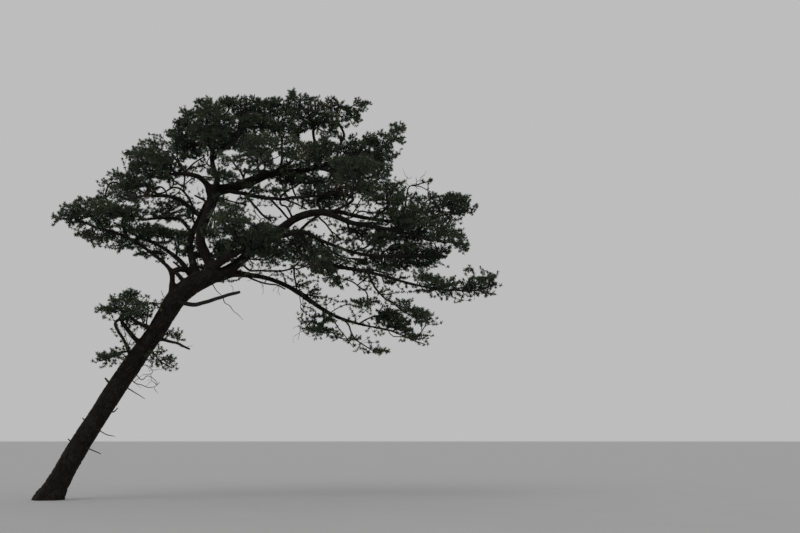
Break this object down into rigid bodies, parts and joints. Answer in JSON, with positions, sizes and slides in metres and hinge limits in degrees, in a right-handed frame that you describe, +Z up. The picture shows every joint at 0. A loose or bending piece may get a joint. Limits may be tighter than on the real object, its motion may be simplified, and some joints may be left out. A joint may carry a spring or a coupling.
{
  "type": "leaning pine tree",
  "caption": "Leaning, wind-shaped pine tree: bare trunk with a flared foot, forked stems, bent boughs carrying layered masses of needles, and a broken dead limb.",
  "frame": {"origin": "on the ground, at the middle of the flat cut under the trunk", "axes": "+Z up, +X the way the trunk leans and the crown reaches"},
  "size_m": [12.8911, 8.5843, 11.641],
  "materials": {
    "bark": "rough plated bark, dull dark grey-brown",
    "dead_wood": "weathered bare wood, dull grey",
    "needles": "matte, dull dark green needles"
  },
  "bodies": {
    "root": {"arch_bough": "bark", "arch_lower": "bark", "broken_bough": "dead_wood", "centre_back": "needles", "centre_front": "needles", "centre_left": "needles", "centre_low": "needles", "dead_bough": "dead_wood", "far_inner": "needles", "far_tip": "needles", "fork_bough": "bark", "fork_lower": "needles", "fork_upper": "needles", "hanging": "needles", "left_back": "needles", "left_fork_bough": "bark", "left_inner": "needles", "left_long": "needles", "left_low": "needles", "left_middle": "needles", "left_upper": "needles", "low_left_bough": "bark", "low_middle": "needles", "low_outer": "needles", "low_right_bough": "bark", "low_right_tip": "bark", "low_tip": "needles", "lowest": "needles", "mid_left_bough": "bark", "mid_right_bough": "bark", "outer_low": "needles", "outer_middle": "needles", "outer_top": "needles", "right_back": "needles", "right_bough": "bark", "right_front": "needles", "right_high": "needles", "right_inner": "needles", "right_middle": "needles", "right_shoulder": "needles", "right_upper": "needles", "shoulder": "needles", "small_crown_bough": "bark", "small_low": "needles", "small_right": "needles", "small_top": "needles", "stem_back": "bark", "stem_front": "bark", "strip_inner": "needles", "strip_outer": "needles", "top_back": "needles", "top_bough": "bark", "top_front": "needles", "top_left": "needles", "top_middle": "needles", "top_right": "needles", "top_tip": "needles", "trunk": "bark", "upper_left_bough": "bark", "upper_right_bough": "bark"}
  },
  "joints": []
}
